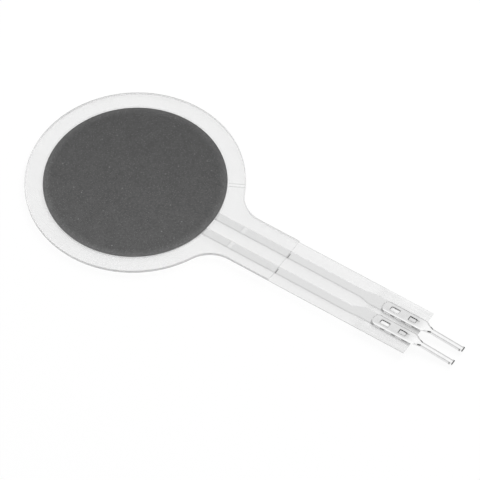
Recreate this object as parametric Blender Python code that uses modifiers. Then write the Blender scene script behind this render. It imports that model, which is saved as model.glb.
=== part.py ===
"""Force sensing resistor: a one-inch round sensor on a film tail with two crimped solder pins.

The frame has its origin at the centre of the head's rear face, +X along the tail and +Z
through the layers towards the sensing face.
"""
import math

import bmesh
import bpy
from mathutils import Matrix, Vector

MM = 0.001

# Outline of the laminate, with lengths taken from the centre of the head
HEAD_RADIUS = 15.24 * MM
TAIL_WIDTH = 7.62 * MM
NECK_FILLET = 4.6 * MM
UPPER_REACH = 24.5 * MM
TAIL_REACH = 46.1 * MM

# Layers, from the rear face up
BOTTOM_FILM_T = 0.13 * MM
SILVER_T = 0.012 * MM
SPACER_T = 0.15 * MM
INK_T = 0.02 * MM
TOP_FILM_T = 0.13 * MM
BOND_LINE = 0.003 * MM

# Rim about the ink, and the ring of adhesive that keeps just clear of it
RIM_WIDTH = 2.54 * MM
RING_CLEARANCE = 0.22 * MM
VENT_WIDTH = 0.5 * MM
VENT_BEARING = math.radians(30.3)
VENT_HEADING = math.radians(26.5)

# Silver comb under the ink
COMB_CLEARANCE = 0.2 * MM
BUS_WIDTH = 0.5 * MM
FINGER_WIDTH = 0.42 * MM
FINGER_PITCH = 0.85 * MM
FINGER_END_MARGIN = 0.7 * MM
FINGER_TIP_GAP = 0.45 * MM

# Silver tracks, printed a little to one side, and the pads that they widen into
TRACE_WIDTH = 1.24 * MM
TRACE_PITCH = 3.0 * MM
TRACE_SHIFT = -0.22 * MM
TRACE_SIDE_GAP = 0.06 * MM
FLARE_LEAD = 3.6 * MM
FLARE_LENGTH = 1.9 * MM
PAD_WIDTH = 1.9 * MM
PAD_END_MARGIN = 0.5 * MM

# Stamped terminals: a windowed plate, then a narrow root, then a folded pin
TERMINAL_PITCH = 2.54 * MM
PLATE_SEAT = 6.4 * MM
SHEET_T = 0.25 * MM
PLATE_WIDTH = 1.74 * MM
PLATE_LENGTH = 6.5 * MM
PLATE_END_RADIUS = 0.74 * MM
PLATE_EDGE_ROUND = 0.1 * MM
SHOULDER_RADIUS = 0.6 * MM
SHOULDER_LENGTH = 0.45 * MM
SHOULDER_WIDTH = 1.3 * MM

WINDOW_WIDTH = 0.7 * MM
FIRST_WINDOW_START = 1.15 * MM
FIRST_WINDOW_LENGTH = 1.4 * MM
FIRST_WINDOW_RADIUS = 0.3 * MM
SECOND_WINDOW_START = 4.08 * MM
SECOND_WINDOW_LENGTH = 1.1 * MM
WINDOW_CORNER = 0.12 * MM
RAMP_LENGTH = 0.5 * MM
RAMP_DEPTH = 0.15 * MM
RAMP_WIDTH = 0.58 * MM

# Tines that pierce the film and curl back under it
TINE_COUNT = 3
TINE_FIRST = 1.1 * MM
TINE_PITCH = 1.7 * MM
TINE_WIDTH = 0.95 * MM
TINE_T = 0.2 * MM
TINE_BULGE = 0.03 * MM
TINE_ROOT_REACH = 0.35 * MM
TINE_BEND_RADIUS = 0.16 * MM
CURL_RADIUS = 0.23 * MM
CURL_ANGLE = math.radians(168)
CURL_CLEARANCE = 0.05 * MM
SLOT_CLEARANCE = 0.04 * MM

# Folded pin
PIN_WIDTH = 0.66 * MM
PIN_HEIGHT = 0.52 * MM
PIN_CORNER = 0.14 * MM
PIN_LENGTH = 5.0 * MM
PIN_DROP = math.radians(5)
ROOT_LENGTH = 1.0 * MM
ROOT_WING = 0.1 * MM
ROOT_LAP = 0.2 * MM
ROOT_SINK = 0.01 * MM
TIP_LENGTH = 0.4 * MM
TIP_WIDTH = 0.74 * MM
TIP_T = 0.21 * MM
TIP_SINK = 0.02 * MM
TIP_NECK_WIDTH = 0.4 * MM
TIP_NECK_LENGTH = 0.1 * MM
TIP_LAP = 0.3 * MM

HEAD_STEP = math.radians(3.75)
BEND_STEP = math.radians(22.5)
WELD = 0.0001 * MM
REACH_OVER = 1 * MM

# Heights of the layers' faces, and places that follow from the sizes above
SILVER_Z = BOTTOM_FILM_T + BOND_LINE
SILVER_TOP = SILVER_Z + SILVER_T
SPACER_Z = SILVER_Z
TOP_FILM_Z = SPACER_Z + SPACER_T + BOND_LINE
INK_Z = TOP_FILM_Z - BOND_LINE - INK_T
TERMINAL_Z = SILVER_TOP + BOND_LINE

INK_RADIUS = HEAD_RADIUS - RIM_WIDTH
RING_RADIUS = INK_RADIUS + RING_CLEARANCE
BUS_OUTER = RING_RADIUS - COMB_CLEARANCE
BUS_INNER = BUS_OUTER - BUS_WIDTH
FINGER_COUNT = 1 + math.floor(2 * (BUS_INNER - FINGER_END_MARGIN) / FINGER_PITCH)
TERMINAL_START = TAIL_REACH - PLATE_SEAT
FLARE_START = TERMINAL_START - FLARE_LEAD


def clear_scene():
    for item in list(bpy.data.objects):
        bpy.data.objects.remove(item, do_unlink=True)


def new_collection(name):
    group = bpy.data.collections.new(name)
    bpy.context.scene.collection.children.link(group)
    return group


def material(name, colour, roughness, metallic, alpha=1.0):
    made = bpy.data.materials.new(name)
    made.use_nodes = True
    shader = made.node_tree.nodes["Principled BSDF"]
    shader.inputs["Base Color"].default_value = (*colour, 1)
    shader.inputs["Roughness"].default_value = roughness
    shader.inputs["Metallic"].default_value = metallic
    shader.inputs["Alpha"].default_value = alpha
    return made


def arc(centre, radius, start, end, step):
    """Points on an arc from one angle to another, both ends included."""
    count = max(1, math.ceil(abs(end - start) / step - 1e-6))
    turns = [start + (end - start) * i / count for i in range(count + 1)]
    return [(centre[0] + radius * math.cos(t), centre[1] + radius * math.sin(t)) for t in turns]


def rounded(corners):
    """Closed outline through (x, y, radius) corners, each turned into an arc of its radius."""
    points = []
    for i, (x, y, radius) in enumerate(corners):
        here = Vector((x, y))
        back = (Vector(corners[i - 1][:2]) - here).normalized()
        ahead = (Vector(corners[(i + 1) % len(corners)][:2]) - here).normalized()
        if radius == 0:
            points.append((x, y))
            continue
        half = back.angle(ahead) / 2
        middle = here + (back + ahead).normalized() * (radius / math.sin(half))
        first = here + back * (radius / math.tan(half)) - middle
        sweep = math.pi - 2 * half
        turn = 1 if back.x * ahead.y - back.y * ahead.x < 0 else -1
        start = math.atan2(first.y, first.x)
        points += arc(middle, radius, start, start + turn * sweep, BEND_STEP)
    return points


def strip(path, thickness):
    """Closed outline of a bent strip of even thickness that follows a middle line."""
    sides = ([], [])
    for i, (x, y) in enumerate(path):
        before = Vector(path[max(i - 1, 0)])
        after = Vector(path[min(i + 1, len(path) - 1)])
        along = (after - before).normalized()
        for side, sign in zip(sides, (1, -1)):
            side.append((x - sign * along.y * thickness / 2, y + sign * along.x * thickness / 2))
    return sides[0] + sides[1][::-1]


def extrude(name, outline, thickness, group, place=Matrix.Identity(4)):
    """Solid of a flat outline, half its thickness to each side of the plane that place sets."""
    curve = bpy.data.curves.new(name, "CURVE")
    curve.dimensions = "2D"
    curve.fill_mode = "BOTH"
    curve.extrude = thickness / 2
    spline = curve.splines.new("POLY")
    spline.points.add(len(outline) - 1)
    for point, (x, y) in zip(spline.points, outline):
        point.co = (x, y, 0, 1)
    spline.use_cyclic_u = True
    holder = bpy.data.objects.new(name, curve)
    group.objects.link(holder)
    holder.matrix_world = place
    bpy.context.view_layer.update()
    mesh = bpy.data.meshes.new_from_object(holder.evaluated_get(bpy.context.evaluated_depsgraph_get()))
    shape = bmesh.new()
    shape.from_mesh(mesh)
    bmesh.ops.remove_doubles(shape, verts=shape.verts, dist=WELD)
    bmesh.ops.dissolve_limit(shape, angle_limit=math.radians(1), verts=shape.verts, edges=shape.edges)
    bmesh.ops.recalc_face_normals(shape, faces=shape.faces)
    shape.to_mesh(mesh)
    shape.free()
    bpy.data.objects.remove(holder, do_unlink=True)
    solid = bpy.data.objects.new(name, mesh)
    group.objects.link(solid)
    solid.matrix_world = place
    return solid


def layer(name, outline, bottom, thickness, group):
    """Flat sheet lying between two heights."""
    return extrude(name, outline, thickness, group, Matrix.Translation((0, 0, bottom + thickness / 2)))


def boxes(name, spans, group):
    """One object of separate boxes, each given by its low and high corners."""
    shape = bmesh.new()
    for low, high in spans:
        low, high = Vector(low), Vector(high)
        size = Matrix.Diagonal((*(high - low), 1))
        bmesh.ops.create_cube(shape, size=1, matrix=Matrix.Translation((low + high) / 2) @ size)
    mesh = bpy.data.meshes.new(name)
    shape.to_mesh(mesh)
    shape.free()
    solid = bpy.data.objects.new(name, mesh)
    group.objects.link(solid)
    return solid


def hide(cutter):
    cutter.display_type = "WIRE"
    cutter.hide_render = True


def combine(target, other, operation):
    """Boolean of two objects; the second one is kept as a hidden guide."""
    step = target.modifiers.new(f"{operation.lower()} {other.name}", "BOOLEAN")
    step.operation = operation
    step.object = other
    hide(other)


def settle(solid):
    """Give an object the mesh that its modifiers make, in place of the modifiers."""
    bpy.context.view_layer.update()
    mesh = bpy.data.meshes.new_from_object(solid.evaluated_get(bpy.context.evaluated_depsgraph_get()))
    mesh.name = solid.name
    mesh.transform(solid.matrix_world)
    solid.modifiers.clear()
    solid.data = mesh
    solid.matrix_world = Matrix.Identity(4)


def finish(solid, surface, crease=math.radians(25)):
    """Settle the shape, keep edges sharper than the crease crisp, and set the material."""
    settle(solid)
    solid.data.materials.clear()
    solid.data.materials.append(surface)
    solid.data.shade_smooth()
    solid.data.set_sharp_from_angle(angle=crease)


def head_outline(reach):
    """Round head with filleted shoulders and a tail that is cut square at its end."""
    half = TAIL_WIDTH / 2
    fillet_x = math.sqrt((HEAD_RADIUS + NECK_FILLET) ** 2 - (half + NECK_FILLET) ** 2)
    fillet_y = half + NECK_FILLET
    meet = math.atan2(fillet_y, fillet_x)
    points = arc((0, 0), HEAD_RADIUS, meet, 2 * math.pi - meet, HEAD_STEP)
    points += arc((fillet_x, -fillet_y), NECK_FILLET, math.pi - meet, math.pi / 2, HEAD_STEP * 2)[1:]
    points += [(reach, -half), (reach, half)]
    points += arc((fillet_x, fillet_y), NECK_FILLET, -math.pi / 2, meet - math.pi, HEAD_STEP * 2)[:-1]
    return points


def finger_places(first):
    """Every second finger's place along X, starting with the first or the second one."""
    middle = (FINGER_COUNT - 1) / 2
    return [(i - middle) * FINGER_PITCH for i in range(first, FINGER_COUNT, 2)]


def comb_outline(first_finger, shift):
    """Comb on the +Y side: a curved bus with fingers that reach across, and its track and pad."""
    near = (TRACE_PITCH - TRACE_WIDTH) / 2 + shift
    far = (TRACE_PITCH + TRACE_WIDTH) / 2 + shift
    pad_near = (TERMINAL_PITCH - PAD_WIDTH) / 2
    pad_far = (TERMINAL_PITCH + PAD_WIDTH) / 2
    flare_end = FLARE_START + FLARE_LENGTH
    pad_end = TAIL_REACH - PAD_END_MARGIN
    bus_start = math.asin(far / BUS_OUTER)
    bus_end = math.pi - math.asin(near / BUS_INNER)
    points = [(pad_end, pad_near), (pad_end, pad_far), (flare_end, pad_far), (FLARE_START, far)]
    points += arc((0, 0), BUS_OUTER, bus_start, bus_end, HEAD_STEP)
    turn = bus_end
    for x in finger_places(first_finger):
        left, right = x - FINGER_WIDTH / 2, x + FINGER_WIDTH / 2
        into, out = math.acos(left / BUS_INNER), math.acos(right / BUS_INNER)
        points += arc((0, 0), BUS_INNER, turn, into, HEAD_STEP)
        tip = FINGER_TIP_GAP - math.sqrt(BUS_INNER ** 2 - max(left ** 2, right ** 2))
        points += [(left, tip), (right, tip)]
        turn = out
    points += arc((0, 0), BUS_INNER, turn, math.asin(near / BUS_INNER), HEAD_STEP)
    points += [(FLARE_START, near), (flare_end, pad_near)]
    return points


def tine_starts():
    """Distance of each tine's inner edge from the plate's inner end."""
    return [TINE_FIRST + i * TINE_PITCH - TINE_WIDTH / 2 for i in range(TINE_COUNT)]


def slot_spans(middle_y, low_z, high_z, open_sided):
    """Boxes about one terminal's tines, wide enough to pass them."""
    outer = PLATE_WIDTH / 2 + TINE_BULGE + SLOT_CLEARANCE
    inner = PLATE_WIDTH / 2 + TINE_BULGE - TINE_T - SLOT_CLEARANCE
    spans = []
    for start in tine_starts():
        low_x = TERMINAL_START + start - SLOT_CLEARANCE
        high_x = TERMINAL_START + start + TINE_WIDTH + SLOT_CLEARANCE
        edge = PAD_WIDTH / 2 + SLOT_CLEARANCE if open_sided else outer
        spans.append(((low_x, middle_y + inner, low_z), (high_x, middle_y + edge, high_z)))
        spans.append(((low_x, middle_y - edge, low_z), (high_x, middle_y - inner, high_z)))
    return spans


def make_films(parts, cutters, surface):
    """Lower film with slots for the tines, and the shorter upper film."""
    lower = layer("bottom_film", head_outline(TAIL_REACH), 0, BOTTOM_FILM_T, parts)
    spans = []
    for side in (1, -1):
        spans += slot_spans(side * TERMINAL_PITCH / 2, -REACH_OVER, REACH_OVER, False)
    combine(lower, boxes("tine_slots", spans, cutters), "DIFFERENCE")
    upper = layer("top_film", head_outline(UPPER_REACH), TOP_FILM_Z, TOP_FILM_T, parts)
    for film in (lower, upper):
        finish(film, surface)


def make_spacer(parts, cutters, surface):
    """Adhesive sheet with the sensing hole, the vent and a channel over each track."""
    sheet = layer("spacer_adhesive", head_outline(UPPER_REACH), SPACER_Z, SPACER_T, parts)
    hole = extrude("sensing_hole", arc((0, 0), RING_RADIUS, 0, 2 * math.pi, HEAD_STEP)[:-1],
                   REACH_OVER, cutters)
    combine(sheet, hole, "DIFFERENCE")
    middle = (RING_RADIUS + HEAD_RADIUS) / 2
    ring_width = HEAD_RADIUS - RING_RADIUS
    vent = boxes("vent_slot", [((-ring_width, -VENT_WIDTH / 2, -REACH_OVER),
                                (ring_width, VENT_WIDTH / 2, REACH_OVER))], cutters)
    vent.location = (middle * math.cos(VENT_BEARING), middle * math.sin(VENT_BEARING), 0)
    vent.rotation_euler.z = VENT_HEADING
    combine(sheet, vent, "DIFFERENCE")
    half = TRACE_WIDTH / 2 + TRACE_SIDE_GAP
    spans = []
    for side in (1, -1):
        y = side * TRACE_PITCH / 2 + TRACE_SHIFT
        spans.append(((INK_RADIUS / 2, y - half, -REACH_OVER),
                      (UPPER_REACH + REACH_OVER, y + half, SILVER_TOP + BOND_LINE)))
    combine(sheet, boxes("trace_channels", spans, cutters), "DIFFERENCE")
    finish(sheet, surface)


def make_electrodes(parts, cutters, surface):
    """Two silver combs whose fingers lie between each other's, with notched pads."""
    for name, side, first in (("electrode_left", 1, 0), ("electrode_right", -1, 1)):
        outline = [(x, side * y) for x, y in comb_outline(first, side * TRACE_SHIFT)]
        comb = layer(name, outline, SILVER_Z, SILVER_T, parts)
        spans = slot_spans(side * TERMINAL_PITCH / 2, -REACH_OVER, REACH_OVER, True)
        combine(comb, boxes(f"{name}_notches", spans, cutters), "DIFFERENCE")
        finish(comb, surface)


def make_ink(parts, surface):
    """Carbon disc printed on the upper film's underside."""
    outline = arc((0, 0), INK_RADIUS, 0, 2 * math.pi, HEAD_STEP)[:-1]
    finish(layer("force_ink", outline, INK_Z, INK_T, parts), surface)


def plate_blank(name, group):
    """Flat plate with a round inner end and shoulders that narrow towards the pin."""
    half = PLATE_WIDTH / 2
    shoulder_x = PLATE_LENGTH + SHOULDER_LENGTH
    corners = [(0, -half, PLATE_END_RADIUS), (PLATE_LENGTH, -half, SHOULDER_RADIUS),
               (shoulder_x, -SHOULDER_WIDTH / 2, 0), (shoulder_x, SHOULDER_WIDTH / 2, 0),
               (PLATE_LENGTH, half, SHOULDER_RADIUS), (0, half, PLATE_END_RADIUS)]
    plate = layer(name, rounded(corners), 0, SHEET_T, group)
    edge = plate.modifiers.new("rounded edge", "BEVEL")
    edge.width = PLATE_EDGE_ROUND
    edge.segments = 2
    edge.limit_method = "ANGLE"
    edge.angle_limit = math.radians(60)
    return plate


def window(name, start, length, inner_radius, group):
    """Cutter for one window, rounder at the end away from the pin."""
    half = WINDOW_WIDTH / 2
    corners = [(start, -half, inner_radius), (start + length, -half, WINDOW_CORNER),
               (start + length, half, WINDOW_CORNER), (start, half, inner_radius)]
    return extrude(name, rounded(corners), REACH_OVER, group)


def ramp(group):
    """Wedge that slopes from the plate's top down into the second window's pin side."""
    slope = math.atan2(RAMP_DEPTH, RAMP_LENGTH)
    cutter = boxes("ramp", [((-RAMP_LENGTH * 2, -RAMP_WIDTH / 2, 0), (0, RAMP_WIDTH / 2, SHEET_T))],
                   group)
    cutter.location = (SECOND_WINDOW_START + SECOND_WINDOW_LENGTH + RAMP_LENGTH, 0, SHEET_T)
    cutter.rotation_euler.y = -slope
    return cutter


def tine_path():
    """Middle line, in Y and Z, of a tine that leaves the plate, pierces the film and curls."""
    leg_y = PLATE_WIDTH / 2 + TINE_BULGE - TINE_T / 2
    top_z = SHEET_T / 2
    curl_z = -TERMINAL_Z - CURL_CLEARANCE
    bend = (leg_y - TINE_BEND_RADIUS, top_z - TINE_BEND_RADIUS)
    path = [(leg_y - TINE_ROOT_REACH, top_z)]
    path += arc(bend, TINE_BEND_RADIUS, math.pi / 2, 0, BEND_STEP)
    path += arc((leg_y - CURL_RADIUS, curl_z), CURL_RADIUS, 0, -CURL_ANGLE, BEND_STEP)
    return path


ALONG_X = Matrix(((0, 0, 1, 0), (1, 0, 0, 0), (0, 1, 0, 0), (0, 0, 0, 1)))


def tine(name, start, side, group):
    """Tine of one side, swept along the plate for its width."""
    outline = [(side * y, z) for y, z in strip(tine_path(), TINE_T)]
    place = Matrix.Translation((start + TINE_WIDTH / 2, 0, 0)) @ ALONG_X
    return extrude(name, outline, TINE_WIDTH, group, place)


def pin_place(x, z):
    """Frame of the pin, which drops gently from its root, moved along it and down through it."""
    root = Matrix.Translation((PLATE_LENGTH + SHOULDER_LENGTH - ROOT_LAP, 0, SHEET_T - ROOT_SINK))
    return root @ Matrix.Rotation(PIN_DROP, 4, "Y") @ Matrix.Translation((x, 0, z))


def folded_pin(group):
    """Sheet folded down on both sides, as wide as the shoulders at its root."""
    half = PIN_WIDTH / 2
    gap = half - SHEET_T
    outer = [(half, -PIN_HEIGHT, 0), (half, 0, PIN_CORNER), (-half, 0, PIN_CORNER), (-half, -PIN_HEIGHT, 0)]
    inner = [(-gap, -PIN_HEIGHT, 0), (-gap, -SHEET_T, gap / 2), (gap, -SHEET_T, gap / 2), (gap, -PIN_HEIGHT, 0)]
    length = ROOT_LENGTH + PIN_LENGTH - TIP_LENGTH
    pin = extrude("pin", rounded(outer + inner), length, group, pin_place(length / 2, 0) @ ALONG_X)
    shape = bmesh.new()
    shape.from_mesh(pin.data)
    bmesh.ops.bisect_plane(shape, geom=shape.verts[:] + shape.edges[:] + shape.faces[:], dist=WELD,
                           plane_co=(0, 0, ROOT_LENGTH - length / 2), plane_no=(0, 0, 1))
    for vert in shape.verts:
        if vert.co.z < (ROOT_LENGTH - length) / 2:
            vert.co.x *= SHOULDER_WIDTH / PIN_WIDTH
            vert.co.y = max(vert.co.y, -SHEET_T - ROOT_WING)
    shape.to_mesh(pin.data)
    shape.free()
    return pin


def pin_tip(group):
    """Flat end where the stamping was cut from its strip, a little wider than the pin."""
    fold_end = ROOT_LENGTH + PIN_LENGTH - TIP_LENGTH
    flare_end = fold_end + TIP_NECK_LENGTH
    reach = fold_end + TIP_LENGTH
    neck, half = TIP_NECK_WIDTH / 2, TIP_WIDTH / 2
    outline = [(fold_end - TIP_LAP, -neck), (fold_end, -neck), (flare_end, -half), (reach, -half),
               (reach, half), (flare_end, half), (fold_end, neck), (fold_end - TIP_LAP, neck)]
    return extrude("pin_tip", outline, TIP_T, group, pin_place(0, -TIP_SINK - TIP_T / 2))


def make_terminals(parts, cutters, surface):
    """Both terminals share one mesh: the plate with windows, tines, and the pin joined on."""
    left = plate_blank("terminal_left", parts)
    combine(left, window("first_window", FIRST_WINDOW_START, FIRST_WINDOW_LENGTH,
                         FIRST_WINDOW_RADIUS, cutters), "DIFFERENCE")
    combine(left, window("second_window", SECOND_WINDOW_START, SECOND_WINDOW_LENGTH,
                         WINDOW_CORNER, cutters), "DIFFERENCE")
    combine(left, ramp(cutters), "DIFFERENCE")
    for number, start in enumerate(tine_starts()):
        for side, label in ((1, "left"), (-1, "right")):
            combine(left, tine(f"tine_{label}_{number}", start, side, cutters), "UNION")
    combine(left, folded_pin(cutters), "UNION")
    combine(left, pin_tip(cutters), "UNION")
    finish(left, surface)
    left.location = (TERMINAL_START, TERMINAL_PITCH / 2, TERMINAL_Z)
    right = bpy.data.objects.new("terminal_right", left.data)
    parts.objects.link(right)
    right.location = (TERMINAL_START, -TERMINAL_PITCH / 2, TERMINAL_Z)


def build():
    clear_scene()
    parts = new_collection("force sensing resistor")
    cutters = new_collection("cutters")
    film = material("clear polyester film", (0.86, 0.86, 0.87), 0.12, 0, 0.3)
    adhesive = material("clear spacer adhesive", (0.8, 0.8, 0.8), 0.35, 0, 0.25)
    silver = material("silver ink", (0.72, 0.72, 0.72), 0.45, 0.6)
    carbon = material("carbon ink", (0.095, 0.095, 0.095), 0.8, 0)
    tin = material("tinned brass", (0.85, 0.85, 0.85), 0.22, 1)
    make_films(parts, cutters, film)
    make_spacer(parts, cutters, adhesive)
    make_electrodes(parts, cutters, silver)
    make_ink(parts, carbon)
    make_terminals(parts, cutters, tin)


build()
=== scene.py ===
"""A clear film force sensor with a carbon disc and two crimped solder pins, on a pale table."""
import math

import bpy
from mathutils import Matrix, Vector


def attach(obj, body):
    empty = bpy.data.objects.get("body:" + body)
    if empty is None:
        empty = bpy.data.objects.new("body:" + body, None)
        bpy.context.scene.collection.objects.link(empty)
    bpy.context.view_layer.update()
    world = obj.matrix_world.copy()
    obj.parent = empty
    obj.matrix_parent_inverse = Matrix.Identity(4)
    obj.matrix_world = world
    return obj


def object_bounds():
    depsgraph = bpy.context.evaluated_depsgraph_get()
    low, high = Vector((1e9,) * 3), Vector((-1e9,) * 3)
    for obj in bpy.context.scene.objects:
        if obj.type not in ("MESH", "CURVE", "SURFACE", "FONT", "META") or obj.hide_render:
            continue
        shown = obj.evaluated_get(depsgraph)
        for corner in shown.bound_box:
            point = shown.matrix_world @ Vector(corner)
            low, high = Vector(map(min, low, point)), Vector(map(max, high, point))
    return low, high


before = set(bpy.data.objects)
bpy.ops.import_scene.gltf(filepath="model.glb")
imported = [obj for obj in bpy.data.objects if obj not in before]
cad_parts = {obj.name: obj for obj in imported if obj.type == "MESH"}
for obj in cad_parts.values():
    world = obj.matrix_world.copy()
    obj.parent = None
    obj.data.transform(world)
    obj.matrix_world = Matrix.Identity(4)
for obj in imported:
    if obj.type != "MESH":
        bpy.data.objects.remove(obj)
cad_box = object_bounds()


# Bottom film: polyester, clear but faintly milky, punched to the outline of the head and tail.
# The silver is printed on it, and the tines of the terminals pass through slots in it. The
# crimps whiten its upper face, and painted shade darkens it between them.

MM = 0.001
HEAD_RADIUS = 15.24
TAIL_HALF = 3.81
NECK_FILLET = 4.6
STEP_X = 24.5
STEP_REACH = 0.1
STEP_SOFT = 0.05
FAR_AWAY = 100.0

FILM_GREY = 0.56
FILM_HAZE = 0.16
FILM_CUT_GREY = 0.5
FILM_CUT_HAZE = 0.45
FILM_RIM_SHADE = 0.25
FILM_ROUGHNESS = 0.12
SHEET_IOR = 1.6

NOISE_SPAN = (0.3, 0.7)
NOISE_CORE = (0.35, 0.65)
MOTTLE = (0.9, 4.0)
MOTTLE_SHADE = (0.985, 1.015)
STREAKS = (2.6, 2.0, (0.06, 1, 1))
STREAK_SHADE = (0.94, 1.05)
RIPPLE = (0.12, 2.0)
RIPPLE_DEPTH = 0.00002
RIPPLE_STRENGTH = 0.4

CRIMPED_X = (37.0, 40.0)
CRIMPED_GREY = 0.76
CRIMPED_HAZE = 0.78
FILM_FACES_Z = (0.04, 0.09)
# painted shade on the film between the two crimps
SHADE_BETWEEN_X = (40.5, 44.5)
SHADE_BETWEEN_Y = (0.25, 0.5)
PAINTED_SHADE_BETWEEN = 0.8

WALL_TILT = (0.3, 0.6)
# painted shade: a dark band on the faces along the outline, weaker down the tail
RIM_SHADE_REACH = (0.05, 0.15)
TAIL_RIM_SHADE_X = (15.5, 19.0)
TAIL_RIM_SHADE_SHARE = 0.3
# painted shade on the cut edges, set by the way they face and by side
CUT_SHADE_FACING = (-0.9, 0.9)
CUT_PAINTED_SHADE_BY_FACING = (1.35, 0.15)
CUT_SHADE_SIDE_Y = (3.0, 10.0)
CUT_PAINTED_SHADE_BY_SIDE = (1.3, 0.8)
NECK_X = (12.8, 15.0)
FAR_TAIL_LIGHT_Y = (2.0, 3.0)
FAR_TAIL_PAINTED_LIGHT = 0.62


def start_material(name):
    """A named material with its node tree and its one surface shader."""
    made = bpy.data.materials.new(name)
    made.use_nodes = True
    return made, made.node_tree, made.node_tree.nodes["Principled BSDF"]


def math_of(tree, kind, first, second=None, third=None):
    """One Math node; each entry is a number or a socket."""
    node = tree.nodes.new("ShaderNodeMath")
    node.operation = kind
    for slot, entry in enumerate((first, second, third)):
        if entry is None:
            continue
        if isinstance(entry, (int, float)):
            node.inputs[slot].default_value = entry
        else:
            tree.links.new(entry, node.inputs[slot])
    return node.outputs[0]


def times(tree, first, second):
    """Product of two values."""
    return math_of(tree, "MULTIPLY", first, second)


def ramp_of(tree, value, low, high, start=0.0, end=1.0):
    """Smooth change from start to end while value goes from low to high."""
    node = tree.nodes.new("ShaderNodeMapRange")
    node.interpolation_type = "SMOOTHSTEP"
    tree.links.new(value, node.inputs["Value"])
    node.inputs["From Min"].default_value = low
    node.inputs["From Max"].default_value = high
    node.inputs["To Min"].default_value = start
    node.inputs["To Max"].default_value = end
    return node.outputs["Result"]


def fall_of(tree, value, low, high):
    """Smooth fall from 1 to 0 while value goes from low to high."""
    return ramp_of(tree, value, low, high, 1.0, 0.0)


def band_of(tree, value, low, high, soft):
    """1 between low and high, fading to 0 over the soft distance outside them."""
    rise = ramp_of(tree, value, low - soft, low)
    return times(tree, rise, fall_of(tree, value, high, high + soft))


def shaded(tree, level, mask, share):
    """A level as it is where the mask is 0, and times the share where the mask is 1."""
    return times(tree, level, ramp_of(tree, mask, 0.0, 1.0, 1.0, share))


def millimetres(tree):
    """The object's own coordinates in millimetres: the vector, X, Y and Z."""
    where = tree.nodes.new("ShaderNodeTexCoord")
    scale = tree.nodes.new("ShaderNodeMapping")
    scale.inputs["Scale"].default_value = (1 / MM, 1 / MM, 1 / MM)
    parts = tree.nodes.new("ShaderNodeSeparateXYZ")
    tree.links.new(where.outputs["Object"], scale.inputs["Vector"])
    tree.links.new(scale.outputs["Vector"], parts.inputs["Vector"])
    return scale.outputs["Vector"], parts.outputs["X"], parts.outputs["Y"], parts.outputs["Z"]


def noise_of(tree, vector, scale, detail, stretch=(1, 1, 1)):
    """Noise with so many cells to the millimetre, stretched along an axis where asked."""
    shape = tree.nodes.new("ShaderNodeMapping")
    shape.inputs["Scale"].default_value = stretch
    tree.links.new(vector, shape.inputs["Vector"])
    node = tree.nodes.new("ShaderNodeTexNoise")
    node.inputs["Scale"].default_value = scale
    node.inputs["Detail"].default_value = detail
    tree.links.new(shape.outputs["Vector"], node.inputs["Vector"])
    return node.outputs["Fac"]


def clouded(tree, noise, span, grey, shades):
    """Grey level that wanders between two shades of itself while the noise crosses its span."""
    return ramp_of(tree, noise, *span, grey * shades[0], grey * shades[1])


def facing_of(tree, axis):
    """How far a face is turned towards one axis."""
    where = tree.nodes.new("ShaderNodeTexCoord")
    parts = tree.nodes.new("ShaderNodeSeparateXYZ")
    tree.links.new(where.outputs["Normal"], parts.inputs["Vector"])
    return parts.outputs[axis]


def wall_of(tree):
    """1 on the cut walls of a sheet and 0 on its flat faces."""
    return fall_of(tree, math_of(tree, "ABSOLUTE", facing_of(tree, "Z")), *WALL_TILT)


def grey_of(tree, value):
    """Grey colour whose level is a socket's value."""
    node = tree.nodes.new("ShaderNodeCombineColor")
    for name in ("Red", "Green", "Blue"):
        tree.links.new(value, node.inputs[name])
    return node.outputs["Color"]


def towards_grey(tree, level, share, grey):
    """Grey colour of a level, mixed by a share with one fixed grey."""
    node = tree.nodes.new("ShaderNodeMix")
    node.data_type = "RGBA"
    # Its colour sockets share their names with its other ones, so they go by number.
    first, second, mixed = node.inputs[6], node.inputs[7], node.outputs[2]
    tree.links.new(share, node.inputs["Factor"])
    tree.links.new(grey_of(tree, level), first)
    second.default_value = (grey, grey, grey, 1)
    return mixed


def bump_of(tree, height, distance, strength):
    """Normal of a surface that rises by the distance where the height is 1."""
    node = tree.nodes.new("ShaderNodeBump")
    node.inputs["Distance"].default_value = distance
    node.inputs["Strength"].default_value = strength
    tree.links.new(height, node.inputs["Height"])
    return node.outputs["Normal"]


def length_of(tree, across, along):
    """Length of the line whose two sides are given."""
    square = math_of(tree, "MULTIPLY_ADD", across, across, times(tree, along, along))
    return math_of(tree, "SQRT", square)


def to_outline(tree, x, y):
    """Distance to the outline of the head, the neck fillets and the tail, from inside."""
    width = math_of(tree, "ABSOLUTE", y)
    to_head = math_of(tree, "SUBTRACT", HEAD_RADIUS, length_of(tree, y, x))
    fillet_y = TAIL_HALF + NECK_FILLET
    fillet_x = math.sqrt((HEAD_RADIUS + NECK_FILLET) ** 2 - fillet_y ** 2)
    past_x = math_of(tree, "SUBTRACT", x, fillet_x)
    past_y = math_of(tree, "SUBTRACT", width, fillet_y)
    to_fillet = math_of(tree, "SUBTRACT", length_of(tree, past_y, past_x), NECK_FILLET)
    on_neck = math_of(tree, "LESS_THAN", x, fillet_x)
    from_tail = math_of(tree, "SUBTRACT", TAIL_HALF, width)
    to_tail = math_of(tree, "MULTIPLY_ADD", on_neck, FAR_AWAY, from_tail)
    neck_x = fillet_x * HEAD_RADIUS / (HEAD_RADIUS + NECK_FILLET)
    on_head = math_of(tree, "LESS_THAN", x, neck_x)
    to_neck = math_of(tree, "MULTIPLY_ADD", on_head, -FAR_AWAY,
                      math_of(tree, "MINIMUM", to_fillet, to_tail))
    return math_of(tree, "MAXIMUM", to_head, to_neck)


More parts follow.
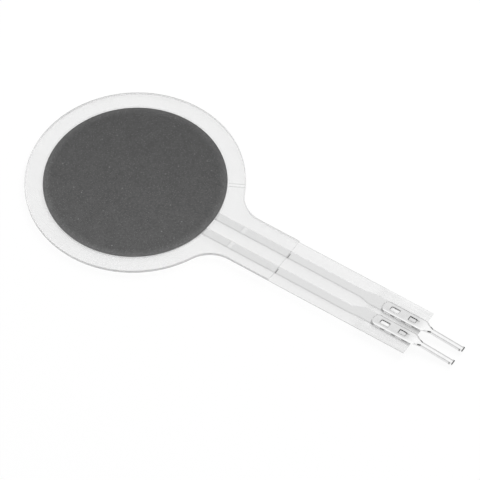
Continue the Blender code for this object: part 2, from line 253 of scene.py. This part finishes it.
def crimp_whitening_and_shade(tree, x, y, z, level, grey, haze):
    """Level and haze of a film that the crimps have whitened, with painted shade between them."""
    near_crimp = ramp_of(tree, x, *CRIMPED_X)
    level = shaded(tree, level, near_crimp, CRIMPED_GREY / grey)
    # painted shade on the film between the two crimps
    shade_between = fall_of(tree, math_of(tree, "ABSOLUTE", y), *SHADE_BETWEEN_Y)
    shade_between = times(tree, shade_between, ramp_of(tree, x, *SHADE_BETWEEN_X))
    level = shaded(tree, level, shade_between, PAINTED_SHADE_BETWEEN)
    milky_face = times(tree, near_crimp, ramp_of(tree, z, *FILM_FACES_Z))
    return level, ramp_of(tree, milky_face, 0.0, 1.0, haze, CRIMPED_HAZE)


def cut_haze_and_shade_of(tree, x, y, haze, cut_haze):
    """Haze of a cut edge, weaker at the step, with painted shade: heavier on walls facing the
    near side and towards the near side, lighter on walls facing the far side and along the far
    edges of the head and tail.
    """
    at_step = band_of(tree, x, STEP_X - STEP_REACH, STEP_X + STEP_REACH, STEP_SOFT)
    edge = ramp_of(tree, at_step, 0.0, 1.0, cut_haze, (haze + cut_haze) / 2)
    # painted shade: cut walls facing the near side darker, those facing the far side lighter
    edge = times(tree, edge, ramp_of(tree, facing_of(tree, "Y"), *CUT_SHADE_FACING, *CUT_PAINTED_SHADE_BY_FACING))
    # painted light: a lighter cut edge along the tail's far side
    far_tail_light = times(tree, ramp_of(tree, x, *NECK_X), ramp_of(tree, y, *FAR_TAIL_LIGHT_Y))
    far_tail_light = shaded(tree, far_tail_light, at_step, 0.0)
    edge = shaded(tree, edge, far_tail_light, FAR_TAIL_PAINTED_LIGHT)
    # painted shade: cut edges darker towards the near side, lighter on the head's far side
    return times(tree, edge, ramp_of(tree, y, *CUT_SHADE_SIDE_Y, *CUT_PAINTED_SHADE_BY_SIDE))


def clear_sheet(name, grey, haze, cut_grey, cut_haze, roughness, rim_shade=0.0, crimped=False):
    """Clear sheet that shows what is behind it, with a duller cut edge and painted shade that
    widens the edge's dark line along the outline.
    """
    made, tree, shader = start_material(name)
    vector, x, y, z = millimetres(tree)
    mottle = noise_of(tree, vector, *MOTTLE)
    level = clouded(tree, mottle, NOISE_SPAN, grey, MOTTLE_SHADE)
    streaks = noise_of(tree, vector, *STREAKS)
    level = times(tree, level, ramp_of(tree, streaks, *NOISE_CORE, *STREAK_SHADE))
    milk = haze
    if crimped:
        level, milk = crimp_whitening_and_shade(tree, x, y, z, level, grey, haze)
    wall = wall_of(tree)
    if rim_shade:
        # painted shade: a dark band on the faces along the outline, weaker down the tail
        rim_shade_band = ramp_of(tree, to_outline(tree, x, y), *RIM_SHADE_REACH, rim_shade, 0.0)
        rim_shade_band = times(tree, rim_shade_band, ramp_of(tree, x, *TAIL_RIM_SHADE_X, 1.0, TAIL_RIM_SHADE_SHARE))
        wall = math_of(tree, "MAXIMUM", wall, rim_shade_band)
    tree.links.new(towards_grey(tree, level, wall, cut_grey), shader.inputs["Base Color"])
    extra = math_of(tree, "SUBTRACT", cut_haze_and_shade_of(tree, x, y, haze, cut_haze), milk)
    tree.links.new(math_of(tree, "MULTIPLY_ADD", extra, wall, milk), shader.inputs["Alpha"])
    shader.inputs["Roughness"].default_value = roughness
    shader.inputs["IOR"].default_value = SHEET_IOR
    ripple = bump_of(tree, noise_of(tree, vector, *RIPPLE), RIPPLE_DEPTH, RIPPLE_STRENGTH)
    tree.links.new(ripple, shader.inputs["Normal"])
    return made


def dress(node, made):
    """Give a solid of the frame one finish."""
    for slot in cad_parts[node].material_slots:
        slot.material = made


dress("bottom_film", clear_sheet("clear polyester, lower sheet", FILM_GREY, FILM_HAZE,
                                 FILM_CUT_GREY, FILM_CUT_HAZE, FILM_ROUGHNESS, FILM_RIM_SHADE,
                                 crimped=True))


# Silver combs: conductive ink screen printed on the bottom film, each a bus with fingers, a
# track down the tail and a pad under its terminal. Each track has a worn tick and a paler gap,
# a painted shadow across it where the top film ends, and painted shade along its near side.

SILVER_GREY = 0.68
NOISE_WIDE = (0.25, 0.75)
SILVER_GRAIN = (9.0, 3.0)
SILVER_SHADE = (0.965, 1.03)
SILVER_BUMP = (0.000004, 0.5)
SILVER_ROUGHNESS = 0.6
SILVER_GLOSS = 0.3
BREAK_SLANT = -0.06
TICK_X = (16.66, 16.74, 0.04)
TICK_SHADE = 0.86
GAP_X = (16.84, 17.3, 0.08)
GAP_SHADE = 1.09
# painted shadow across the tracks at the step, and painted shade along their near edges
STEP_SHADOW_X = (24.52, 24.62, 0.04)
STEP_SHADOW_WIDTH = (0.0, 0.8, 0.1)
STEP_PAINTED_SHADOW = 0.3
NEAR_SHADE_WIDTH = (-0.02, 0.15, 0.06)
TRACK_PAINTED_SHADE = 0.83
TRACK_EDGES = (0.66, -2.34)
PAD_EDGES = (0.32, -2.22)
FLARE_X = (36.1, 38.0)


def printed_silver():
    """Matte silver ink with its printing marks, a painted shadow at the step and painted shade
    along the near edges.
    """
    made, tree, shader = start_material("printed silver ink")
    vector, x, y, _ = millimetres(tree)
    grain = noise_of(tree, vector, *SILVER_GRAIN)
    level = clouded(tree, grain, NOISE_WIDE, SILVER_GREY, SILVER_SHADE)
    break_x = math_of(tree, "MULTIPLY_ADD", y, BREAK_SLANT, x)
    level = shaded(tree, level, band_of(tree, break_x, *TICK_X), TICK_SHADE)
    level = shaded(tree, level, band_of(tree, break_x, *GAP_X), GAP_SHADE)
    # painted shadow across the tracks where the top film ends
    step_shadow = band_of(tree, x, *STEP_SHADOW_X)
    for track, pad in zip(TRACK_EDGES, PAD_EDGES):
        from_edge = math_of(tree, "SUBTRACT", y, ramp_of(tree, x, *FLARE_X, track, pad))
        shadow_dash = times(tree, step_shadow, band_of(tree, from_edge, *STEP_SHADOW_WIDTH))
        level = shaded(tree, level, shadow_dash, STEP_PAINTED_SHADOW)
        # painted shade along the near edge of each track and pad
        level = shaded(tree, level, band_of(tree, from_edge, *NEAR_SHADE_WIDTH), TRACK_PAINTED_SHADE)
    tree.links.new(grey_of(tree, level), shader.inputs["Base Color"])
    shader.inputs["Roughness"].default_value = SILVER_ROUGHNESS
    shader.inputs["Specular IOR Level"].default_value = SILVER_GLOSS
    tree.links.new(bump_of(tree, grain, *SILVER_BUMP), shader.inputs["Normal"])
    return made


silver = printed_silver()
dress("electrode_left", silver)
dress("electrode_right", silver)


# Spacer: clear acrylic adhesive that bonds the two films round the disc and down the tail as
# far as the step, with a narrow vent left open on one side of the head.

GLUE_GREY = 0.85
GLUE_HAZE = 0.015
GLUE_CUT_GREY = 0.5
GLUE_CUT_HAZE = 0.2
GLUE_ROUGHNESS = 0.3

dress("spacer_adhesive", clear_sheet("clear spacer adhesive", GLUE_GREY, GLUE_HAZE,
                                     GLUE_CUT_GREY, GLUE_CUT_HAZE, GLUE_ROUGHNESS))


# Carbon disc: resistive ink screen printed on the underside of the top film, matte, with the
# fine specks of its filler and a slightly thinner, paler border.

INK_RADIUS = 12.7
INK_GREY = 0.059
INK_CLOUD = (0.35, 4.0)
INK_CLOUD_SHADE = (0.96, 1.04)
INK_GRAIN = (5.0, 3.0)
INK_GRAIN_SHADE = (0.83, 1.17)
# painted light: the disc paler towards the viewer
INK_LIGHT_SLANT = (0.3, -0.9)
INK_PAINTED_LIGHT = (0.91, 1.27)
INK_BORDER = (0.9, 0.995)
INK_BORDER_SHADE = 1.5
INK_BUMP = (0.000004, 0.3)
INK_ROUGHNESS = 0.75
INK_GLOSS = 0.25
SPECKS_TO_MM = 1.4
SPECK_SIZE = (0.06, 0.16)
SPECK_LIGHT = 0.15
SPECK_CHOSEN = (0.84, 0.9)


def carbon_ink():
    """Matte dark ink, with painted light that makes it paler towards the viewer, and paler at its
    border.
    """
    made, tree, shader = start_material("carbon ink")
    vector, x, y, _ = millimetres(tree)
    cloud = noise_of(tree, vector, *INK_CLOUD)
    grain = noise_of(tree, vector, *INK_GRAIN)
    level = clouded(tree, cloud, NOISE_SPAN, INK_GREY, INK_CLOUD_SHADE)
    level = times(tree, level, ramp_of(tree, grain, *NOISE_CORE, *INK_GRAIN_SHADE))
    # painted light: the disc paler towards the viewer
    light_slant = math_of(tree, "MULTIPLY_ADD", x, INK_LIGHT_SLANT[0], times(tree, y, INK_LIGHT_SLANT[1]))
    level = times(tree, level, ramp_of(tree, light_slant, -INK_RADIUS, INK_RADIUS, *INK_PAINTED_LIGHT))
    level = times(tree, level, ramp_of(tree, length_of(tree, y, x), INK_RADIUS * INK_BORDER[0],
                                       INK_RADIUS * INK_BORDER[1], 1.0, INK_BORDER_SHADE))
    specks = tree.nodes.new("ShaderNodeTexVoronoi")
    specks.inputs["Scale"].default_value = SPECKS_TO_MM
    tree.links.new(vector, specks.inputs["Vector"])
    speck = ramp_of(tree, specks.outputs["Distance"], *SPECK_SIZE, SPECK_LIGHT, 0.0)
    cell = tree.nodes.new("ShaderNodeSeparateColor")
    tree.links.new(specks.outputs["Color"], cell.inputs["Color"])
    chosen = ramp_of(tree, cell.outputs["Red"], *SPECK_CHOSEN)
    level = math_of(tree, "MULTIPLY_ADD", speck, chosen, level)
    tree.links.new(grey_of(tree, level), shader.inputs["Base Color"])
    shader.inputs["Roughness"].default_value = INK_ROUGHNESS
    shader.inputs["Specular IOR Level"].default_value = INK_GLOSS
    tree.links.new(bump_of(tree, grain, *INK_BUMP), shader.inputs["Normal"])
    return made


dress("force_ink", carbon_ink())


# Top film: the same polyester, clearer, cut to the head and the near part of the tail. It ends
# at the step, where the bottom film goes on alone.

COVER_GREY = 0.8
COVER_HAZE = 0.015
COVER_CUT_GREY = 0.4
COVER_CUT_HAZE = 0.7
COVER_RIM_SHADE = 0.4

dress("top_film", clear_sheet("clear polyester, upper sheet", COVER_GREY, COVER_HAZE,
                              COVER_CUT_GREY, COVER_CUT_HAZE, FILM_ROUGHNESS, COVER_RIM_SHADE))


# Terminals: brass sheet stamped with two windows, tin plated bright, crimped through the film
# with tines on both sides and folded into a pin at the free end. In the painted light and shade
# of edges, flanks and window rims, the first value is the plate's and the second the pin's.

TIN_GREY = 0.77
# painted light: the pins lighter than the plates
PIN_PAINTED_LIGHT_GREY = 0.97
# bare sheared metal, darkened with painted shade; also used for painted shade in creases and fold
# ends
SHEARED_AND_SHADE_GREY = 0.12
TIN_CLOUD = (1.4, 3.0)
TIN_CLOUD_SHADE = (0.96, 1.02)
ROLLED = (5.0, 3.0, (0.12, 1, 1))
ROLLED_ROUGHNESS = (0.2, 0.34)
ROLLED_BUMP = (0.000006, 0.5)

TERMINAL_MIDDLE = 1.27
PLATE_HALF = 0.87
PIN_HALF = 0.33
TAPER = 0.36
TAPER_END_X = 47.4
PIN_X = (46.2, 46.6)
PIN_SLOPE = 0.0872
PIN_LIGHT_X = (44.6, 46.6)
FLANK_FACING = (0.85, 0.95)
# painted light on the plates' flanks, painted shade on the pins'
FLANK_PAINTED_LIGHT_SHADE = (1.25, 0.88)
SIDE_SOFT = 0.05

# painted shade along the far edges, wider on the pins
FAR_EDGE_REACH = (0.08, 0.22)
FAR_EDGE_PAINTED_SHADE = (0.78, 0.66)
FAR_PIN_REACH = -0.08
# painted highlight along the plates' near edges, painted shade along the pins'
NEAR_EDGE_REACH = (0.14, 0.26)
NEAR_EDGE_PAINTED_LIGHT_SHADE = (1.27, 0.85)
NEAR_PIN_REACH = 0.09
LOW_EDGE_Z = (-0.13, -0.05)
# painted shade along the pins' lower edge
LOW_EDGE_PAINTED_SHADE = (1.0, 0.88)

WINDOWS = ((41.55, 0.7), (44.33, 0.55))
WINDOW_HALF = 0.35
WINDOW_WALL = 0.6
WINDOW_WALL_REACH = (0.42, 0.5)
# painted shade on the plate round each window
WINDOW_SHADE_REACH = (0.05, 0.1)
WINDOW_PAINTED_SHADE = (0.8, 1.0)

CREASE_SHADE_X = (47.0, 47.4, 0.06)
CREASE_SHADE_REACH = (0.08, 0.14)
CREASE_SHADE_Z = (0.08, 0.16)
FOLD_END_X = (51.88, 52.02, 0.04)
CUT_END_X = (52.27, 52.33)


def tin_painted_light_and_shade(tree, level, mask, on_pin, shares):
    """Level times the plate's share or the pin's where the mask is, for painted light and shade.
    """
    plate_share, pin_share = shares
    change = ramp_of(tree, on_pin, 0.0, 1.0, plate_share - 1, pin_share - 1)
    return times(tree, level, math_of(tree, "MULTIPLY_ADD", change, mask, 1.0))


def tin_plate():
    """Bright tin with rolled edges and painted light and shade, bare sheared metal darkened with
    painted shade in the windows and at the tips, and painted shade in the creases and where the
    folds end.
    """
    made, tree, shader = start_material("bright tin plate")
    vector, x, y, z = millimetres(tree)
    rolled = noise_of(tree, vector, *ROLLED)
    cloud = noise_of(tree, vector, *TIN_CLOUD)
    level = clouded(tree, cloud, NOISE_SPAN, TIN_GREY, TIN_CLOUD_SHADE)
    # painted light: the pins lighter than the plates
    level = times(tree, level, ramp_of(tree, x, *PIN_LIGHT_X, 1.0, PIN_PAINTED_LIGHT_GREY / TIN_GREY))

    on_pin = ramp_of(tree, x, *PIN_X)
    flank = ramp_of(tree, math_of(tree, "ABSOLUTE", facing_of(tree, "Y")), *FLANK_FACING)
    middle_y = times(tree, math_of(tree, "SIGN", y), TERMINAL_MIDDLE)
    side = math_of(tree, "SUBTRACT", y, middle_y)
    aside = math_of(tree, "ABSOLUTE", side)
    taper = math_of(tree, "MULTIPLY_ADD", x, -TAPER, PIN_HALF + TAPER * TAPER_END_X)
    half = math_of(tree, "MINIMUM", math_of(tree, "MAXIMUM", taper, PIN_HALF), PLATE_HALF)
    to_edge = math_of(tree, "SUBTRACT", half, aside)

    # painted shade along the far edges, wider on the pins
    far = ramp_of(tree, side, 0.0, SIDE_SOFT)
    reach = math_of(tree, "MULTIPLY_ADD", times(tree, far, on_pin), FAR_PIN_REACH, to_edge)
    far_edge_shade = times(tree, fall_of(tree, reach, *FAR_EDGE_REACH), far)
    level = tin_painted_light_and_shade(tree, level, far_edge_shade, on_pin, FAR_EDGE_PAINTED_SHADE)
    # painted highlight along the plates' near edges, painted shade along the pins'
    near_reach = math_of(tree, "MULTIPLY_ADD", on_pin, NEAR_PIN_REACH, to_edge)
    near_edge_light = times(tree, fall_of(tree, near_reach, *NEAR_EDGE_REACH),
                      fall_of(tree, side, -SIDE_SOFT, 0.0))
    near_edge_light = shaded(tree, near_edge_light, flank, 0.0)
    level = tin_painted_light_and_shade(tree, level, near_edge_light, on_pin, NEAR_EDGE_PAINTED_LIGHT_SHADE)
    # painted light on the plates' flanks, painted shade on the pins'
    level = tin_painted_light_and_shade(tree, level, flank, on_pin, FLANK_PAINTED_LIGHT_SHADE)
    # painted shade along the pins' lower edge
    past_root = math_of(tree, "SUBTRACT", x, PIN_X[1])
    height = math_of(tree, "MULTIPLY_ADD", past_root, PIN_SLOPE, z)
    level = tin_painted_light_and_shade(tree, level, fall_of(tree, height, *LOW_EDGE_Z), on_pin, LOW_EDGE_PAINTED_SHADE)

    # painted shade on the plate round each window
    to_side = math_of(tree, "SUBTRACT", aside, WINDOW_HALF)
    for centre, half_length in WINDOWS:
        along = math_of(tree, "ABSOLUTE", math_of(tree, "SUBTRACT", x, centre))
        to_end = math_of(tree, "SUBTRACT", along, half_length)
        window_shade = fall_of(tree, math_of(tree, "MAXIMUM", to_side, to_end), *WINDOW_SHADE_REACH)
        level = tin_painted_light_and_shade(tree, level, window_shade, on_pin, WINDOW_PAINTED_SHADE)

    # bare sheared metal on the window walls, darkened with painted shade
    in_window = ramp_of(tree, aside, *WINDOW_WALL_REACH, WINDOW_WALL, 0.0)
    sheared_and_shade = times(tree, wall_of(tree), shaded(tree, in_window, on_pin, 0.0))
    # painted shade in the creases at the pins' roots, a painted shadow where the folds end, and
    # the sheared tip ends, partly painted shade
    crease_shade = times(tree, band_of(tree, x, *CREASE_SHADE_X), fall_of(tree, reach, *CREASE_SHADE_REACH))
    crease_shade = times(tree, crease_shade, ramp_of(tree, z, *CREASE_SHADE_Z))
    fold_end_shadow = times(tree, band_of(tree, x, *FOLD_END_X), flank)
    cut_end = ramp_of(tree, x, *CUT_END_X)
    for mark in (crease_shade, fold_end_shadow, cut_end):
        sheared_and_shade = math_of(tree, "MAXIMUM", sheared_and_shade, mark)
    tree.links.new(towards_grey(tree, level, sheared_and_shade, SHEARED_AND_SHADE_GREY), shader.inputs["Base Color"])
    shader.inputs["Metallic"].default_value = 1.0
    roughness = ramp_of(tree, rolled, *NOISE_WIDE, *ROLLED_ROUGHNESS)
    tree.links.new(roughness, shader.inputs["Roughness"])
    tree.links.new(bump_of(tree, rolled, *ROLLED_BUMP), shader.inputs["Normal"])
    return made


tin = tin_plate()
dress("terminal_left", tin)
dress("terminal_right", tin)


# Pressed film: where the crimp closes, the printed film bulges up into each window of the
# terminals as a low pale cushion that touches nothing but the pad under it. The second one of
# each terminal is darker.

CUSHION_FOOT = 0.1485
CUSHION_RISE = 0.17
CUSHION_CORNER = 0.14
CUSHION_ROUND = 0.1
CORNER_STEPS = 5
ROUND_STEPS = 4
UPRIGHT = 0.9
SMOOTH_ANGLE = math.radians(50)
CUSHION_WIDTH = 0.66
CUSHION_X = ((40.87, 42.23), (43.80, 44.86))
CRINKLE = (4.0, 3.0)
CRINKLE_GREY = (0.82, 0.88)
CRINKLE_BUMP = (0.000004, 0.4)
SECOND_DARKER_X = (43.0, 43.5)
SECOND_DARKER_SHADE = 0.75
PRESSED_ROUGHNESS = 0.35


def pressed_film():
    """Pale crinkled film, paler than the silver ink, darker in each terminal's second window."""
    made, tree, shader = start_material("pressed printed film")
    vector, x, _, _ = millimetres(tree)
    crinkle = noise_of(tree, vector, *CRINKLE)
    level = times(tree, ramp_of(tree, crinkle, *NOISE_SPAN, *CRINKLE_GREY),
                  ramp_of(tree, x, *SECOND_DARKER_X, 1.0, SECOND_DARKER_SHADE))
    tree.links.new(grey_of(tree, level), shader.inputs["Base Color"])
    shader.inputs["Roughness"].default_value = PRESSED_ROUGHNESS
    tree.links.new(bump_of(tree, crinkle, *CRINKLE_BUMP), shader.inputs["Normal"])
    return made


def flat_piece(name, middle, size):
    """A block at its place, alone in the selection and open in edit mode."""
    bpy.ops.object.select_all(action="DESELECT")
    bpy.ops.mesh.primitive_cube_add(size=1, location=[MM * value for value in middle])
    piece = bpy.context.object
    piece.name = name
    piece.scale = [MM * value for value in size]
    bpy.ops.object.transform_apply(location=True, rotation=True, scale=True)
    bpy.ops.object.mode_set(mode="EDIT")
    return piece


def pick(piece, kind, is_wanted):
    """Select the faces or edges of an open mesh whose direction is wanted."""
    bpy.ops.object.mode_set(mode="OBJECT")
    mesh = piece.data
    for part in (*mesh.vertices, *mesh.edges, *mesh.polygons):
        part.select = False
    if kind == "FACE":
        for face in mesh.polygons:
            face.select = is_wanted(face.normal)
    else:
        for edge in mesh.edges:
            start, end = [mesh.vertices[i].co for i in edge.vertices]
            edge.select = is_wanted((end - start).normalized())
    bpy.ops.object.mode_set(mode="EDIT")
    bpy.ops.mesh.select_mode(type=kind)


def pressed_cushion(name, start, end, y, made):
    """A low block with rounded corners and a rounded top, standing in one window."""
    piece = flat_piece(name, ((start + end) / 2, y, CUSHION_FOOT + CUSHION_RISE / 2),
                       (end - start, CUSHION_WIDTH, CUSHION_RISE))
    pick(piece, "EDGE", lambda direction: abs(direction.z) > UPRIGHT)
    bpy.ops.mesh.bevel(offset=CUSHION_CORNER * MM, segments=CORNER_STEPS)
    pick(piece, "FACE", lambda direction: direction.z > UPRIGHT)
    bpy.ops.mesh.bevel(offset=CUSHION_ROUND * MM, segments=ROUND_STEPS)
    bpy.ops.object.mode_set(mode="OBJECT")
    piece.data.materials.append(made)
    bpy.ops.object.shade_smooth_by_angle(angle=SMOOTH_ANGLE)
    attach(piece, "root")


pressed = pressed_film()
for middle_y, label in ((TERMINAL_MIDDLE, "left"), (-TERMINAL_MIDDLE, "right")):
    for number, (start, end) in enumerate(CUSHION_X, 1):
        pressed_cushion(f"cushion_{label}_{number}", start, end, middle_y, pressed)


# Table: a wide white sheet that the sensor lies on, resting on the head's far edge and on the
# pins, so it slopes down a little towards them. It keeps the sensor's soft shadow.

TABLE_SIZE = 4.0
TABLE_GAP = 0.00001
TABLE_GREY = 0.97
TABLE_GLOW = 0.92


def seen_of(tree):
    """Two masks: 1 for any ray that makes the picture, and 1 for one straight from the camera."""
    ray = tree.nodes.new("ShaderNodeLightPath")
    straight = ray.outputs["Is Camera Ray"]
    seen = math_of(tree, "MAXIMUM", straight, ray.outputs["Is Glossy Ray"])
    return math_of(tree, "MAXIMUM", seen, ray.outputs["Is Transmission Ray"]), straight


def white_table():
    """White paper that mostly glows where it is seen, so that it meets the white ground."""
    made = bpy.data.materials.new("white table")
    made.use_nodes = True
    tree = made.node_tree
    tree.nodes.clear()
    lit = tree.nodes.new("ShaderNodeBsdfDiffuse")
    lit.inputs["Color"].default_value = (TABLE_GREY, TABLE_GREY, TABLE_GREY, 1)
    glow = tree.nodes.new("ShaderNodeEmission")
    glow.inputs["Strength"].default_value = 1.0
    both = tree.nodes.new("ShaderNodeMixShader")
    surface = tree.nodes.new("ShaderNodeOutputMaterial")
    seen, _ = seen_of(tree)
    tree.links.new(times(tree, seen, TABLE_GLOW), both.inputs["Fac"])
    tree.links.new(lit.outputs["BSDF"], both.inputs[1])
    tree.links.new(glow.outputs["Emission"], both.inputs[2])
    tree.links.new(both.outputs["Shader"], surface.inputs["Surface"])
    return made


low, high = cad_box
table_slope = math.atan(-low.z / (high.x - low.x))
bpy.ops.object.select_all(action="DESELECT")
bpy.ops.mesh.primitive_plane_add(size=TABLE_SIZE, location=(low.x, 0, -TABLE_GAP),
                                 rotation=(0, table_slope, 0))
table = bpy.context.object
table.name = "table"
bpy.ops.object.transform_apply(location=True, rotation=True, scale=True)
table.data.materials.append(white_table())


# Light: an even white room with greyer walls, and one soft lamp from behind the tail's left
# side that throws the short shadows towards the viewer.

ROOM_LEVEL = 0.64
WALL_GREY = 0.4
WALL_TOP = (0.1, 0.6)
LAMP_POWER = 2.2
LAMP_SIZE = 0.26
LAMP_AWAY = 0.45
LAMP_OVER_X = 0.0175
LAMP_TURN = math.radians(85)
LAMP_HEIGHT = math.radians(30)

room = bpy.data.worlds.new("white room")
bpy.context.scene.world = room
room.use_nodes = True
air = room.node_tree
background = air.nodes["Background"]
background.inputs["Color"].default_value = (1, 1, 1, 1)
seen, straight = seen_of(air)
room_level = math_of(air, "MULTIPLY_ADD", seen, 1.0 - ROOM_LEVEL, ROOM_LEVEL)
way = air.nodes.new("ShaderNodeTexCoord")
heading = air.nodes.new("ShaderNodeSeparateXYZ")
air.links.new(way.outputs["Generated"], heading.inputs["Vector"])
walls = ramp_of(air, heading.outputs["Z"], *WALL_TOP, WALL_GREY, 1.0)
walls = math_of(air, "MAXIMUM", walls, straight)
air.links.new(times(air, room_level, walls), background.inputs["Strength"])

to_lamp = Vector((math.cos(LAMP_TURN) * math.cos(LAMP_HEIGHT),
                  math.sin(LAMP_TURN) * math.cos(LAMP_HEIGHT), math.sin(LAMP_HEIGHT)))
softbox = bpy.data.lights.new("softbox", "AREA")
softbox.shape = "DISK"
softbox.size = LAMP_SIZE
softbox.energy = LAMP_POWER
lamp = bpy.data.objects.new("softbox", softbox)
bpy.context.scene.collection.objects.link(lamp)
lamp.location = Vector((LAMP_OVER_X, 0, 0)) + to_lamp * LAMP_AWAY
lamp.rotation_euler = to_lamp.to_track_quat("Z", "Y").to_euler()
lamp.visible_glossy = False


# Camera: a long lens above the pins' end, turned as the photograph shows the sensor. Its two
# lengths in pixels are those of the 480 pixel picture: one is the lens, one is a metre there.

PICTURE_PIXELS = 480
LENS_PIXELS = 4500
METRE_PIXELS = 7347
SENSOR_WIDTH = 36
AIM = Vector((0.017475, -0.000242, 0))
TURN = math.radians(34.87)
RISE = math.radians(54.31)
ROLL = math.radians(-1.38)
NEAREST = 0.01
FARTHEST = 20
CLEAR_LAYERS = 32

back_axis = Vector((math.sin(TURN) * math.cos(RISE), -math.cos(TURN) * math.cos(RISE),
                    math.sin(RISE)))
level_axis = Vector((math.cos(TURN), math.sin(TURN), 0))
rising_axis = back_axis.cross(level_axis)
right_axis = level_axis * math.cos(ROLL) + rising_axis * math.sin(ROLL)
up_axis = back_axis.cross(right_axis)
lens = bpy.data.cameras.new("camera")
lens.sensor_width = SENSOR_WIDTH
lens.lens = LENS_PIXELS * SENSOR_WIDTH / PICTURE_PIXELS
lens.clip_start = NEAREST
lens.clip_end = FARTHEST
camera = bpy.data.objects.new("camera", lens)
bpy.context.scene.collection.objects.link(camera)
place = Matrix((right_axis, up_axis, back_axis)).transposed().to_4x4()
place.translation = AIM + back_axis * (LENS_PIXELS / METRE_PIXELS)
camera.matrix_world = place
bpy.context.scene.camera = camera
bpy.context.scene.view_settings.view_transform = "Standard"
bpy.context.scene.cycles.transparent_max_bounces = CLEAR_LAYERS
